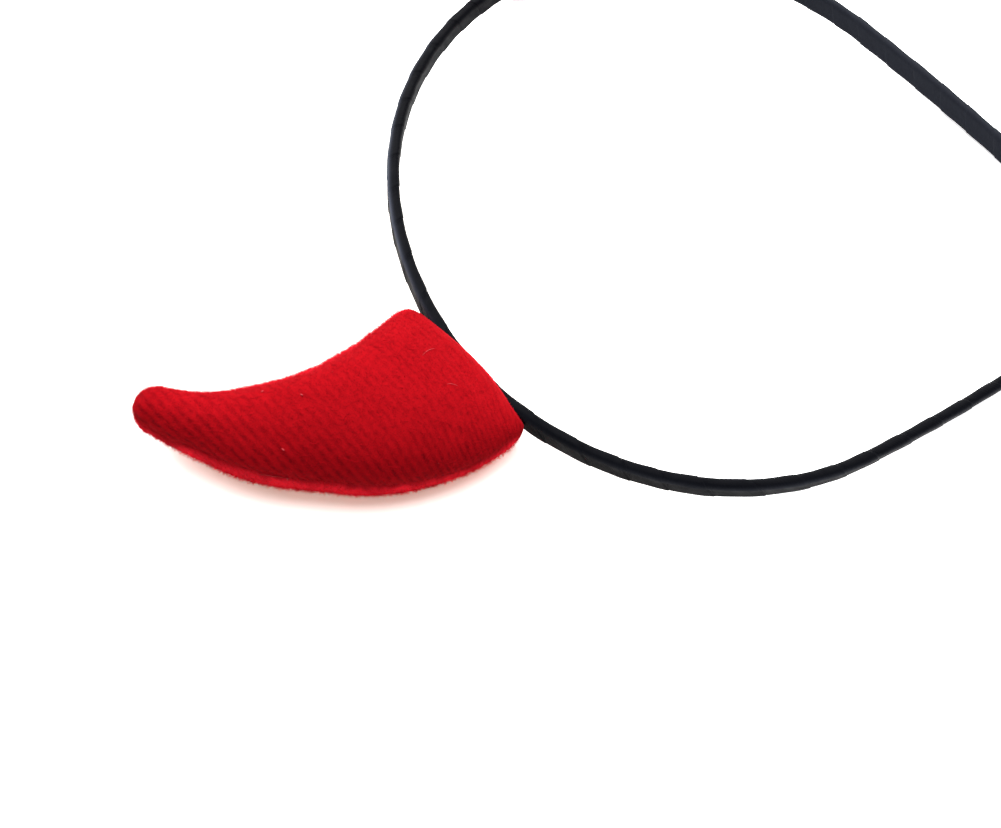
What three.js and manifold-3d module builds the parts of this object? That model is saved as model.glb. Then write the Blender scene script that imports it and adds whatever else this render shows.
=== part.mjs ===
// Devil horns headband: a thin spring hoop wound with ribbon, and two stuffed cloth horns.
// It lies as put down on a table: the horns and the two ends of the hoop rest on z = 0.
// Millimetres and degrees, +Z up, +Y from the ends of the hoop towards its crown.
import * as THREE from 'three';
import { mergeVertices } from 'three/addons/utils/BufferGeometryUtils.js';
import Module from 'manifold-3d';

const wasm = await Module();
wasm.setup();

// The hoop, along the middle of its strip.
const HOOP_WIDTH = 140;
const HOOP_LENGTH = 400;
const CROWN_RADIUS = 76.6;
const CROWN_TURN = 37.7;
const TEMPLE_TURN = 90;
const LEG_RADIUS = 460;

// The strip and the ribbon wound round it.
const STRIP_WIDTH = 4.3;
const STRIP_THICKNESS = 1.8;
const STRIP_CORNER = 0.8;
const RIBBON_THICKNESS = 0.2;
const RIBBON_PITCH = 7.5;

// One horn: its place on the hoop, its size, and its arc towards the crown.
const HORN_PLACE = 64.9;
const HORN_LENGTH = 61;
const HORN_WIDTH = 32;
const HORN_RISE = 9.5;
const HORN_DEPTH = 9;
const HORN_BEND_RADIUS = 55;
const HORN_TIP = 4.4;
const SEAM_DEPTH = 0.9;

// The base of a horn, where its cloth folds over the strip: its reach past the strip's middle, the
// roundness of its edge, and how far its corners draw back, which fades out over BASE_BOW_REACH.
const BASE_OVERLAP = 2.5;
const BASE_ROUNDING = 3;
const BASE_BOW = 1.6;
const BASE_BOW_REACH = 10;

// How it lies and fits.
const CROWN_HEIGHT = 7.6;
const BAND_CLEARANCE = 0.3;

// A horn from the hoop to where its tip rounds off: along is the share of that length, crownward
// and outward the shares of HORN_WIDTH to either side of its middle, rise and depth the shares of
// HORN_RISE above the seam and of HORN_DEPTH below it.
const HORN_SECTIONS = [
  { along: 0.00, crownward: 0.520, outward: 0.490, rise: 0.44, depth: 0.46 },
  { along: 0.10, crownward: 0.530, outward: 0.500, rise: 0.74, depth: 0.76 },
  { along: 0.22, crownward: 0.485, outward: 0.490, rise: 0.94, depth: 0.95 },
  { along: 0.38, crownward: 0.415, outward: 0.445, rise: 1.00, depth: 1.00 },
  { along: 0.54, crownward: 0.335, outward: 0.360, rise: 0.94, depth: 0.96 },
  { along: 0.70, crownward: 0.255, outward: 0.295, rise: 0.76, depth: 0.82 },
  { along: 0.86, crownward: 0.175, outward: 0.205, rise: 0.57, depth: 0.63 },
  { along: 1.00, crownward: 0.135, outward: 0.135, rise: 0.46, depth: 0.50 },
];

// The rounding of a horn's section, where 2 is an ellipse and more is fuller.
const CLOTH_FULLNESS = 2.3;

// How finely the curved surfaces are cut into flats.
const CORNER_STEPS = 2;
const END_STEPS = 3;
const BASE_STEPS = 4;
const BODY_STEPS = 20;
const TIP_STEPS = 4;
const RING_STEPS = 28;
const SLOT_STEP = 2;
const QUARTER = Math.PI / 2;

const RIBBON = { color: 0x191b22, roughness: 0.45, metalness: 0 };
const WOOL = { color: 0xc0101c, roughness: 0.95, metalness: 0 };

// The hoop is three arcs a side. The temple's takes the radius that makes the hoop HOOP_WIDTH wide.
const crownTurn = THREE.MathUtils.degToRad(CROWN_TURN);
const templeTurn = THREE.MathUtils.degToRad(TEMPLE_TURN);
const crownHalfWidth = CROWN_RADIUS * Math.sin(crownTurn);
const templeRadius = (HOOP_WIDTH / 2 - crownHalfWidth) / (1 - Math.sin(crownTurn));
const HOOP_ARCS = [
  { radius: CROWN_RADIUS, turn: crownTurn },
  { radius: templeRadius, turn: templeTurn },
  { radius: LEG_RADIUS, turn: Infinity },
];

// The place on the hoop at a distance from the crown, less than 0 to the left, and its outward normal.
function hoopAt(distance) {
  const side = Math.sign(distance);
  let [x, y, heading, left] = [0, 0, 0, Math.abs(distance)];
  for (const { radius, turn } of HOOP_ARCS) {
    const end = heading + Math.min(left / radius, turn);
    x += radius * (Math.sin(end) - Math.sin(heading));
    y += radius * (Math.cos(end) - Math.cos(heading));
    left -= radius * (end - heading);
    heading = end;
  }
  return {
    point: new THREE.Vector3(side * x, y, 0),
    normal: new THREE.Vector3(side * Math.sin(heading), Math.cos(heading), 0),
  };
}

// The strip's section, a rectangle with round corners, grown all round by a layer on it.
function stripSection(layer, halfWidth = STRIP_WIDTH / 2) {
  const halfThickness = STRIP_THICKNESS / 2;
  const corner = Math.min(STRIP_CORNER, halfWidth, halfThickness);
  const corners = [[1, 1], [-1, 1], [-1, -1], [1, -1]];
  return corners.flatMap(([out, up], quarter) =>
    Array.from({ length: CORNER_STEPS + 1 }, (_, step) => {
      const angle = (quarter + step / CORNER_STEPS) * QUARTER;
      return new THREE.Vector2(
        out * (halfThickness - corner) + (corner + layer) * Math.cos(angle),
        up * (halfWidth - corner) + (corner + layer) * Math.sin(angle),
      );
    }));
}

// How far round the section each of its points lies, from 0 to 1 back at the first.
function sharesRound(section) {
  const lengths = [0];
  section.forEach((point, i) => {
    lengths.push(lengths[i] + point.distanceTo(section[(i + 1) % section.length]));
  });
  return lengths.map((length) => length / lengths[section.length]);
}

// A point of the section carried to a place on the hoop.
function onHoop(distance, { x, y }) {
  const { point, normal } = hoopAt(distance);
  return point.addScaledVector(normal, x).setZ(y);
}

const ringOnHoop = (distance, section) => section.map((point) => onHoop(distance, point));
const closed = (ring) => [...ring, ring[0]];

// Triangles between two rows of as many points, facing the side from which the first row runs
// anticlockwise about the way to the second.
function between(first, second) {
  return first.slice(1).flatMap((_, i) => [
    [first[i], first[i + 1], second[i + 1]],
    [first[i], second[i + 1], second[i]],
  ]);
}

// Triangles from a ring to a point, facing back along the way that the ring runs round.
const fan = (ring, pole) => closed(ring).slice(1).map((point, i) => [point, ring[i], pole]);

// A closed surface over rings in a row, from a pole before the first to a pole after the last.
function skin(firstPole, rings, lastPole) {
  const walls = rings.slice(1).flatMap((ring, i) => between(closed(rings[i]), closed(ring)));
  return [...fan(rings[0], firstPole), ...walls, ...fan([...rings.at(-1)].reverse(), lastPole)];
}

function toGeometry(triangles) {
  const geometry = new THREE.BufferGeometry();
  const positions = triangles.flat().flatMap((point) => point.toArray());
  geometry.setAttribute('position', new THREE.Float32BufferAttribute(positions, 3));
  return mergeVertices(geometry);
}

// The band. The ribbon is wound as a helix, so the rows of each turn run once round the section
// while they move on by one pitch. A turn starts on top of the one before it and slopes down to
// where the next one covers it. The first turn is laid on the bare strip, and each end is round.
const straightHalf = (HOOP_LENGTH - STRIP_WIDTH) / 2;

function roundEnd(side) {
  const rings = Array.from({ length: END_STEPS }, (_, i) => {
    const angle = ((i + 1) / (END_STEPS + 1)) * QUARTER;
    const halfWidth = (STRIP_WIDTH / 2) * Math.cos(angle);
    const distance = straightHalf + (STRIP_WIDTH / 2) * Math.sin(angle);
    return ringOnHoop(side * distance, stripSection(0, halfWidth));
  });
  return { rings, pole: hoopAt((side * HOOP_LENGTH) / 2).point };
}

function bandGeometry() {
  const bare = stripSection(0);
  const wound = stripSection(RIBBON_THICKNESS);
  const shares = sharesRound(bare);
  const turns = Math.round((2 * straightHalf) / RIBBON_PITCH);
  const pitch = (2 * straightHalf) / turns;
  const row = (turn, section, layer) => shares.map((share, i) => {
    const distance = -straightHalf + pitch * (turn + share);
    const corner = i % section.length;
    return onHoop(distance, bare[corner].clone().lerp(section[corner], layer(share)));
  });
  const under = Array.from({ length: turns }, (_, turn) => row(turn, bare, () => 0));
  const over = Array.from({ length: turns }, (_, turn) =>
    row(turn, wound, (share) => (turn === 0 ? share : 1)));
  const [start, end] = [roundEnd(-1), roundEnd(1)];
  const startRings = [...start.rings].reverse();
  const [first, last] = [closed(start.rings[0]), closed(end.rings[0])];
  const lastTurn = turns - 1;
  const triangles = [
    ...fan(startRings[0], start.pole),
    ...startRings.slice(1).flatMap((ring, i) => between(closed(startRings[i]), closed(ring))),
    ...between(first, over[0]),
    [first[0], over[0][0], over[1][0]],
    [over[0][0], under[1][0], over[1][0]],
    ...between(under[lastTurn], last),
    [under[lastTurn][0], last[0], over[lastTurn][0]],
    [last[0], under[lastTurn].at(-1), over[lastTurn][0]],
    ...end.rings.slice(1).flatMap((ring, i) => between(closed(end.rings[i]), closed(ring))),
    ...fan([...end.rings.at(-1)].reverse(), end.pole),
  ];
  for (let turn = 0; turn < lastTurn; turn += 1) {
    triangles.push(...between(over[turn], under[turn + 1]));
    if (turn > 0) triangles.push(...between(under[turn], over[turn]));
  }
  return toGeometry(triangles);
}

// The hoop leans so that its crown is up at the horns' height and both its ends touch the table.
const bandHalf = STRIP_WIDTH / 2 + RIBBON_THICKNESS;
const tilt = Math.asin((CROWN_HEIGHT - bandHalf) / -hoopAt(straightHalf).point.y);

// The horns. One column of the table of sections at a share of the way along, as a smooth curve
// through its rows.
function sectionShare(column, along) {
  const rows = HORN_SECTIONS;
  const slope = (i) => {
    const [before, after] = [rows[Math.max(i - 1, 0)], rows[Math.min(i + 1, rows.length - 1)]];
    return (after[column] - before[column]) / (after.along - before.along);
  };
  const found = rows.findIndex((row) => row.along >= along);
  const next = Math.max(1, found < 0 ? rows.length - 1 : found);
  const [start, end] = [rows[next - 1], rows[next]];
  const span = end.along - start.along;
  const t = THREE.MathUtils.clamp((along - start.along) / span, 0, 1);
  return start[column] * (1 + 2 * t) * (1 - t) ** 2 + end[column] * t * t * (3 - 2 * t)
    + span * t * (1 - t) * (slope(next - 1) * (1 - t) - slope(next) * t);
}

// The stations of a horn: the round fold over the strip, the body, and the round tip. Each has its
// distance from the strip, what its half widths lose, and the share of the table's sizes it keeps.
function hornStations() {
  const bodyStart = BASE_ROUNDING - BASE_OVERLAP;
  const bodyEnd = HORN_LENGTH - HORN_TIP;
  const steps = (count) => Array.from({ length: count }, (_, i) => (i + 1) / count);
  return [
    ...steps(BASE_STEPS).map((t) => ({
      along: BASE_ROUNDING * (1 - Math.cos(t * QUARTER)) - BASE_OVERLAP,
      inset: BASE_ROUNDING * (1 - Math.sin(t * QUARTER)),
      width: 1,
      height: Math.sin(t * QUARTER),
    })),
    ...steps(BODY_STEPS).map((t) => ({
      along: THREE.MathUtils.lerp(bodyStart, bodyEnd, t), inset: 0, width: 1, height: 1,
    })),
    ...steps(TIP_STEPS).slice(0, -1).map((t) => ({
      along: bodyEnd + HORN_TIP * Math.sin(t * QUARTER),
      inset: 0,
      width: Math.cos(t * QUARTER),
      height: Math.cos(t * QUARTER),
    })),
  ].map((station) => ({ ...station, share: station.along / bodyEnd }));
}

// A horn as a skin: full rounded sections square to an arc that starts square to the hoop, with
// the seam drawn in along both edges and the underside flattened where it lies on the table.
function hornSolid(side, tableHeight) {
  const { point: root, normal: out } = hoopAt(side * HORN_PLACE);
  const crownward = out.clone().applyAxisAngle(new THREE.Vector3(0, 0, 1), side * QUARTER);
  const place = (along, across, up) => {
    const angle = along / HORN_BEND_RADIUS;
    const reach = HORN_BEND_RADIUS - across;
    const at = root.clone()
      .addScaledVector(out, reach * Math.sin(angle))
      .addScaledVector(crownward, HORN_BEND_RADIUS - reach * Math.cos(angle));
    return at.setZ(Math.max(up, tableHeight(at.y)));
  };
  const full = (value) => Math.sign(value) * Math.abs(value) ** (2 / CLOTH_FULLNESS);
  const rings = hornStations().map(({ along, inset, width, height, share }) =>
    Array.from({ length: RING_STEPS }, (_, i) => {
      const angle = (side * i * 2 * Math.PI) / RING_STEPS;
      const [cos, sin] = [Math.cos(angle), Math.sin(angle)];
      const halfWidth = sectionShare(cos > 0 ? 'crownward' : 'outward', share) * HORN_WIDTH;
      const halfHeight = sin > 0 ? sectionShare('rise', share) * HORN_RISE
        : sectionShare('depth', share) * HORN_DEPTH;
      const seam = i % (RING_STEPS / 2) === 0 ? SEAM_DEPTH : 0;
      const reach = (halfWidth - inset - seam) * width;
      const bow = BASE_BOW * cos ** 2 * Math.max(0, 1 - (along + BASE_OVERLAP) / BASE_BOW_REACH);
      return place(along + bow, full(cos) * reach, full(sin) * halfHeight * height);
    }));
  const skinned = skin(place(-BASE_OVERLAP, 0, 0), rings, place(HORN_LENGTH - SEAM_DEPTH, 0, 0));
  return toSolid(toGeometry(skinned)).subtract(toSolid(bandSlot(side)));
}

// The room that the wound band takes through a horn's base, with its clearance all round.
function bandSlot(side) {
  const section = stripSection(RIBBON_THICKNESS + BAND_CLEARANCE);
  const count = Math.ceil((2 * HORN_WIDTH) / SLOT_STEP);
  const rings = Array.from({ length: count + 1 }, (_, i) =>
    ringOnHoop(side * HORN_PLACE + (i / count - 0.5) * 2 * HORN_WIDTH, section));
  const poles = [-1, 1].map((end) => hoopAt(side * HORN_PLACE + end * HORN_WIDTH).point);
  return toGeometry(skin(poles[0], rings, poles[1]));
}

function toSolid(geometry) {
  return new wasm.Manifold(new wasm.Mesh({
    numProp: 3,
    vertProperties: geometry.attributes.position.array,
    triVerts: Uint32Array.from(geometry.index.array),
  }));
}

function fromSolid(solid) {
  const { vertProperties, triVerts } = solid.getMesh();
  const geometry = new THREE.BufferGeometry();
  geometry.setAttribute('position', new THREE.BufferAttribute(vertProperties, 3));
  return geometry.setIndex(new THREE.BufferAttribute(triVerts, 1));
}

function piece(name, geometry, finish) {
  geometry.computeVertexNormals();
  const mesh = new THREE.Mesh(geometry, new THREE.MeshStandardMaterial(finish));
  mesh.name = name;
  return mesh;
}

// The headband is made in the plane of its hoop and then leaned and lifted to lie on the table.
const headband = new THREE.Group();
headband.rotation.x = tilt;
headband.add(piece('band', bandGeometry(), RIBBON));
headband.position.z = -new THREE.Box3().setFromObject(headband, true).min.z;
const tableHeight = (y) => -(headband.position.z + y * Math.sin(tilt)) / Math.cos(tilt);
headband.add(piece('horn_left', fromSolid(hornSolid(-1, tableHeight)), WOOL));
headband.add(piece('horn_right', fromSolid(hornSolid(1, tableHeight)), WOOL));

// The origin is under the middle of the headband.
const box = new THREE.Box3().setFromObject(headband, true);
headband.position.y -= (box.min.y + box.max.y) / 2;

const product = new THREE.Group();
product.add(headband);

export default product;
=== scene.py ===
import math

import bmesh
import bpy
import numpy as np
from mathutils import Matrix, Vector


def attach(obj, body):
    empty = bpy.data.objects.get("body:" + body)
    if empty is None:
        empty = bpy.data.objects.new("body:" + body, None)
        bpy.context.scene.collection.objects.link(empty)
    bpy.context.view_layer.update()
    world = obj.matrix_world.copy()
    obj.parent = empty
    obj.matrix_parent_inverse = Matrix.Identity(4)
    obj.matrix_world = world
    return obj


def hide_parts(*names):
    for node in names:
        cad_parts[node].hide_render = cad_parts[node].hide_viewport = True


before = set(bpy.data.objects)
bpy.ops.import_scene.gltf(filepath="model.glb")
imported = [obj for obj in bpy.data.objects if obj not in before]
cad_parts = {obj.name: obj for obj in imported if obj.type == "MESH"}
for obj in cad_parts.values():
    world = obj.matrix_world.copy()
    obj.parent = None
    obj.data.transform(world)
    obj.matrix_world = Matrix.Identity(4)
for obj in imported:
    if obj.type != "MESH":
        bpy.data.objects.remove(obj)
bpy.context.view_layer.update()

# The devil horns headband: a thin spring hoop wound with black satin ribbon, and two stuffed horns
# of brushed red wool twill, lying on a white table. Shapes are worked out in millimetres in the
# plane of the hoop, with its crown at the origin, and are leaned and lifted at the end.

# The hoop: three arcs a side, along the middle of its strip.
HOOP_WIDTH = 140.0
HOOP_LENGTH = 400.0
CROWN_RADIUS = 76.6
CROWN_TURN = math.radians(37.7)
TEMPLE_TURN = math.radians(90)
LEG_RADIUS = 460.0

# The strip and its ribbon. A lap is raised where it lies on the one before, and drops off that
# lap's hidden edge after RIBBON_OVERLAP of the pitch. The winding is thicker at the crown, by
# CROWN_BULK. Painted sheen, a grey reflection painted into the colour, lies along the ribbon's upper
# outer edge, at PAINTED_SHEEN_PLACE of the way round, most at the crown and PAINTED_SHEEN_REST as
# much elsewhere, and by LEG_PAINTED_SHEEN all over the right leg.
STRIP_WIDTH = 4.3
STRIP_THICKNESS = 1.8
STRIP_CORNER = 0.8
STRIP_GIRTH = 11.4
RIBBON_PADDING = 0.19
RIBBON_THICKNESS = 0.10
CROWN_BULK = 0.12
CROWN_BULK_REACH = 45.0
RIBBON_TURNS = 48
RIBBON_OVERLAP = 0.36
OVERLAP_EASE_BEFORE = 0.16
OVERLAP_EASE_AFTER = 0.30
SELVEDGE_STEP = 0.06
SELVEDGE_RISE = 0.015
SELVEDGE_PLACE = 0.045
SELVEDGE_REACH = 0.03
RIBBON_SLACK = 0.03
PITCH_DRIFT = 1.6
# Painted sheen on the ribbon: a grey reflection painted into its colour.
PAINTED_SHEEN_PLACE = 0.15
PAINTED_SHEEN_WIDTH = 0.042
PAINTED_SHEEN_MIDDLE = -6.0
PAINTED_SHEEN_REACH = 32.0
PAINTED_SHEEN_REST = 0.15
PAINTED_SHEEN_STRENGTH = 0.9
PAINTED_SHEEN_UNEVEN = 0.4
LEG_PAINTED_SHEEN = 0.15
LEG_PAINTED_SHEEN_START = 70.0
LEG_PAINTED_SHEEN_FULL = 130.0

# The band's grid: points to a turn of the ribbon, their places over a lap, close together at its
# selvedge, the length over which the laps end, and the rings of the round cap at each end.
TURN_POINTS = 60
LAP_PLACES = (0, .015, .03, .045, .06, .1, .16, .22, .3, .38, .46, .54, .62, .7, .8, .9)
END_FADE = 2.0
CAP_RINGS = 9
CAP_LEAST_HALF_WIDTH = 0.02
CAP_CLOTH_SCALE = 3

# A horn: its place on the hoop, its size, its arc towards the crown, and its base, which is folded
# round the strip. The base's corners are drawn back from the hoop, by BASE_BOW on the crown side
# and OUTER_BASE_BOW on the other.
HORN_PLACE = 64.9
HORN_LENGTH = 61.0
HORN_WIDTH = 32.0
HORN_RISE = 9.5
HORN_DEPTH = 9.0
HORN_BEND_RADIUS = 55.0
HORN_TIP = 4.4
BASE_OVERLAP = 1.7
BASE_ROUNDING = 3.0
BASE_BOW = 1.6
OUTER_BASE_BOW = 1.0
BASE_BOW_REACH = 10.0
BOW_SPREAD = 0.35
BAND_CLEARANCE = 0.3
CLOTH_FULLNESS = 2.45

# The horn's sections as shares: along, crownward, outward, rise, depth.
HORN_SECTIONS = np.array([
    (0.00, 0.532, 0.475, 0.44, 0.46),
    (0.10, 0.536, 0.492, 0.74, 0.76),
    (0.22, 0.490, 0.482, 0.94, 0.95),
    (0.38, 0.410, 0.433, 1.00, 1.00),
    (0.54, 0.322, 0.346, 0.94, 0.96),
    (0.70, 0.246, 0.282, 0.76, 0.82),
    (0.86, 0.168, 0.190, 0.57, 0.63),
    (1.00, 0.122, 0.130, 0.46, 0.50),
])
CROWNWARD, OUTWARD, RISE, DEPTH = 1, 2, 3, 4

# The seam that joins the two panels round the edge. On the outer side it is rolled up over the
# edge, most at SEAM_ROLL_PLACE along the horn. It puckers and wanders a little.
SEAM_DEPTH = 0.18
SEAM_HALF_WIDTH = 0.8
SEAM_DRAW = 0.24
SEAM_DRAW_WIDTH = 1.7
SEAM_ROLL = 0.8
SEAM_ROLL_MORE = 1.2
SEAM_ROLL_PLACE = 38.0
SEAM_ROLL_REACH = 13.0
SEAM_WANDER = 0.22
SEAM_PUCKER = 0.25
SEAM_BASE_FADE = (-1.5, 3.0)

# The ribs of the cloth run at RIB_ANGLE, fan out towards the outer corner of the base, and waver.
# Their relief, and the shade painted in their valleys, are deepest by the outer seam, on the
# horn's shaded outer side, and less elsewhere, the more so at the base.
RIB_PITCH = 1.45
RIB_RELIEF = 0.035
RIB_UNEVEN = 0.5
RIB_ANGLE = math.radians(55)
RIB_FAN = 0.0125
RIB_FAN_REACH = 24.0
RIB_DRIFT = 0.45
BASE_RIB_DRIFT = 0.22
BASE_RIB_FADE = (6.0, 26.0)
RIB_DEPTH_AND_SHADE_LEAST = 0.55
RIB_DEPTH_AND_SHADE_BY_SEAM = 1.05
RIB_DEPTH_AND_SHADE_REACH = 8.0
RIB_DEPTH_AND_SHADE_AT_BASE = 0.4
RIB_DEPTH_AND_SHADE_FULL = 18.0
LUMP_HEIGHT = 0.08
LUMP_BASE_FADE = (0.0, 4.0)
SMALL_LUMP_HEIGHT = 0.035

# Where light is painted on the cloth's edges, and its nap is longer and has more sheen: below the
# outer seam, light bounced up from the white table, less at the tip; where the cloth turns over on
# the crown side, higher up in the horn's middle, and along the band, rim light from behind.
LOWER_EDGE = 0.95
LOWER_EDGE_UNEVEN = 0.25
LOWER_EDGE_FADE = (-0.8, 1.9)
LOWER_EDGE_REACH = 8.0
LOWER_EDGE_TIP_LESS = 0.4
LOWER_EDGE_TIP_FADE = (42.0, 56.0)
CROWN_EDGE = 0.72
CROWN_EDGE_PLACE = 1.2
CROWN_EDGE_PLACE_MORE = 3.9
CROWN_EDGE_REACH = 1.4
CROWN_EDGE_REACH_MORE = 1.2
HORN_MIDDLE = 28.0
HORN_MIDDLE_REACH = 17.0
BASE_EDGE = 0.35
BASE_EDGE_PLACE = 0.4
BASE_EDGE_REACH = 1.0

# The nap: fibre ends in millimetres, short over the band and longer on brushed edges. Real ones are
# 0.02 mm thick, too fine to show, so they are drawn two to four times as thick and far fewer. They
# start NAP_ROOT metres under the cloth, and none grows within NAP_FREE_HEIGHT of the table.
NAP_FIBRES = 47000
NAP_LENGTH = (0.3, 0.85)
NAP_WIDTH = (0.025, 0.045)
NAP_LEAN = 0.9
NAP_AT_BASE = 0.3
NAP_BASE_FADE = (-1.0, 3.0)
NAP_PLAIN = 0.9
NAP_EDGE_MORE = 0.9
NAP_ROOT = 0.0001
NAP_FREE_HEIGHT = 0.0006
NAP_POINTS = 4

# Stray fibres of the cloth: length in steps of the grid, bow as a share of the length, the end's
# greatest lift in metres, and radius in millimetres.
STRAY_FIBRES = 420
STRAY_LENGTH = (4, 14)
STRAY_BOW = 0.3
STRAY_LIFT = 0.0011
STRAY_RADIUS = (0.022, 0.04)
FIBRE_STEPS = 9
FIBRE_END = 0.35

# Lint and loose pale fibres on the left horn: where each starts and ends, in millimetres along the
# horn and in shares of the way round it, its bow as a share of its length, and its radius.
LINT = np.array([
    (31.7, 0.772, 31.2, 0.767, 0.00, 0.13),
    (38.7, 0.810, 38.2, 0.812, 0.00, 0.12),
    (34.7, 0.650, 34.3, 0.644, 0.00, 0.14),
    (34.4, 0.530, 34.3, 0.518, 0.00, 0.10),
    (8.0, 0.732, 6.5, 0.723, 0.12, 0.045),
    (9.0, 0.778, 5.7, 0.783, 0.06, 0.055),
    (38.6, 0.527, 33.9, 0.527, 0.01, 0.06),
])
ALONG_START, SHARE_START, ALONG_END, SHARE_END, BOW, LINT_RADIUS = range(6)

# The grid of a horn that is simulated, and how much finer the finished one is.
BASE_ROWS, BODY_ROWS, TIP_ROWS = 5, 60, 6
RING_POINTS = 84
REFINE = 4

# The swell: how much slimmer the simulated horn starts, its scale in metres to a millimetre, how
# many steps it runs, and the most that its cloth may move.
SWELL_SLIM = 0.6
SWELL_SCALE = 0.01
SWELL_STEPS = 20
SWELL_CAP = 0.8

# The softness of the cloth's turn onto the table, in metres, and the slot's grid and half length as
# a share of the horn's width.
TABLE_SOFTNESS = 0.0003
SLOT_RINGS = 41
SLOT_POINTS = 40
SLOT_REACH = 0.9

# How the hoop lies: leaned back with its crown up at the horns' height, its ends on the table.
LEAN = math.radians(2.1465)
CROWN_FORWARD = 56.904
CROWN_UP = 7.4005

# The camera, in metres in the row's frame, and the photograph's size in pixels.
CAMERA_PLACE = Vector((-0.13398, 0.02331, 0.14650))
CAMERA_RIGHT = Vector((0.1803, -0.9801, 0.0835))
CAMERA_FORWARD = Vector((0.4451, 0.0056, -0.8955))
FOCAL_PIXELS = 880.5
PHOTO_WIDTH = 1001
SENSOR_WIDTH = 36.0

# The light: one big soft box up to the right, turned to the origin, and a dim white room. The
# table reaches TABLE_REACH metres each way.
KEY_PLACE = (0.51, 0.15, 0.86)
KEY_SIZE = 1.8
KEY_POWER = 65.5
ROOM_LIGHT = 0.08
TABLE_REACH = 2.0

WAVE_COUNT = 12
rng = np.random.default_rng(6)


# Shapes.

def to_row(points):
    """Turns hoop-plane millimetres into row metres: lean about X by LEAN, then add the crown's place."""
    x, y, z = np.moveaxis(points, -1, 0)
    row_y = y * math.cos(LEAN) - z * math.sin(LEAN) + CROWN_FORWARD
    row_z = y * math.sin(LEAN) + z * math.cos(LEAN) + CROWN_UP
    return np.stack([x, row_y, row_z], -1) / 1000


def hoop_arcs():
    """Radius and greatest turn of the arcs; the temple's radius makes the hoop HOOP_WIDTH wide."""
    reach = CROWN_RADIUS * math.sin(CROWN_TURN)
    temple = (HOOP_WIDTH / 2 - reach) / (1 - math.sin(CROWN_TURN))
    return ((CROWN_RADIUS, CROWN_TURN), (temple, TEMPLE_TURN), (LEG_RADIUS, math.inf))


def hoop_at(distance):
    """Place and outward normal at a distance from the crown. Along each arc the heading grows by
    length over radius, x by radius times the change of its sine, y by that of its cosine."""
    side = np.sign(distance)
    left = np.abs(np.asarray(distance, float))
    x, y, heading = np.zeros_like(left), np.zeros_like(left), np.zeros_like(left)
    for radius, turn in hoop_arcs():
        end = heading + np.minimum(left / radius, turn)
        x = x + radius * (np.sin(end) - np.sin(heading))
        y = y + radius * (np.cos(end) - np.cos(heading))
        left = left - radius * (end - heading)
        heading = end
    none = np.zeros_like(x)
    point = np.stack([side * x, y, none], -1)
    normal = np.stack([side * np.sin(heading), np.cos(heading), none], -1)
    return point, normal


def strip_section(share, layer, half_width=STRIP_WIDTH / 2, half_thickness=STRIP_THICKNESS / 2):
    """Round-cornered rectangle grown by a layer, at a share of the way round it by length: flats and
    quarter circles in turn, starting at the middle of the outward face. Gives (outward, up)."""
    corner = min(STRIP_CORNER, half_width, half_thickness)
    flat_out, flat_up = half_thickness - corner, half_width - corner
    arc = corner * math.pi / 2
    lengths = np.array([flat_up, arc, 2 * flat_out, arc, 2 * flat_up, arc, 2 * flat_out, arc, flat_up])
    marks = np.concatenate([[0], np.cumsum(lengths)])
    turns = np.array([0, 0, 1, 1, 2, 2, 3, 3, 4, 4]) * math.pi / 2
    outs = np.array([1, 1, 1, -1, -1, -1, -1, 1, 1, 1]) * flat_out
    ups = np.array([0, 1, 1, 1, 1, -1, -1, -1, -1, 0]) * flat_up
    place = np.mod(share, 1) * marks[-1]
    turn = np.interp(place, marks, turns)
    out = np.interp(place, marks, outs) + (corner + layer) * np.cos(turn)
    up = np.interp(place, marks, ups) + (corner + layer) * np.sin(turn)
    return out, up


def on_hoop(distance, out, up):
    """Carries a section's point to a place on the hoop: hoop point + out * normal + up * Z."""
    point, normal = hoop_at(distance)
    point = point + out[..., None] * normal
    point[..., 2] = up
    return point


def smooth_step(value, start, end):
    """0 before start, 1 after end, and 3t^2 - 2t^3 between them."""
    t = np.clip((value - start) / (end - start), 0, 1)
    return t * t * (3 - 2 * t)


def waves(seed, *axes):
    """Gentle irregularity: sine waves of random direction over the axes, summed and divided by the
    root of their number. Each use has its own seed; a factor on an axis sets how fast it changes."""
    source = np.random.default_rng(seed)
    total = 0
    for _ in range(WAVE_COUNT):
        phase = source.uniform(0, 2 * math.pi)
        for axis in axes:
            phase = phase + axis * source.normal(0, 1)
        total = total + np.sin(phase)
    return total / math.sqrt(WAVE_COUNT)


def make_mesh(name, points, faces, uv=None):
    """A mesh object from arrays: points in row metres, faces as one or more tables of corners, each
    with its own number of them, and uv as named tables of a pair a point."""
    faces = [np.asarray(table) for table in faces]
    corner = np.concatenate([table.ravel() for table in faces])
    corners = np.concatenate([np.full(len(table), table.shape[1]) for table in faces])
    mesh = bpy.data.meshes.new(name)
    mesh.vertices.add(len(points))
    mesh.vertices.foreach_set("co", np.ascontiguousarray(points, np.float32).ravel())
    mesh.loops.add(len(corner))
    mesh.loops.foreach_set("vertex_index", corner.astype(np.int32))
    mesh.polygons.add(len(corners))
    mesh.polygons.foreach_set("loop_start", (np.cumsum(corners) - corners).astype(np.int32))
    mesh.polygons.foreach_set("use_smooth", np.ones(len(corners), bool))
    mesh.update(calc_edges=True)
    for name, pairs in (uv or {}).items():
        layer = mesh.uv_layers.new(name=name)
        layer.data.foreach_set("uv", pairs[corner].astype(np.float32).ravel())
    mesh.validate()
    piece = bpy.data.objects.new(mesh.name, mesh)
    bpy.context.scene.collection.objects.link(piece)
    return piece


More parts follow.
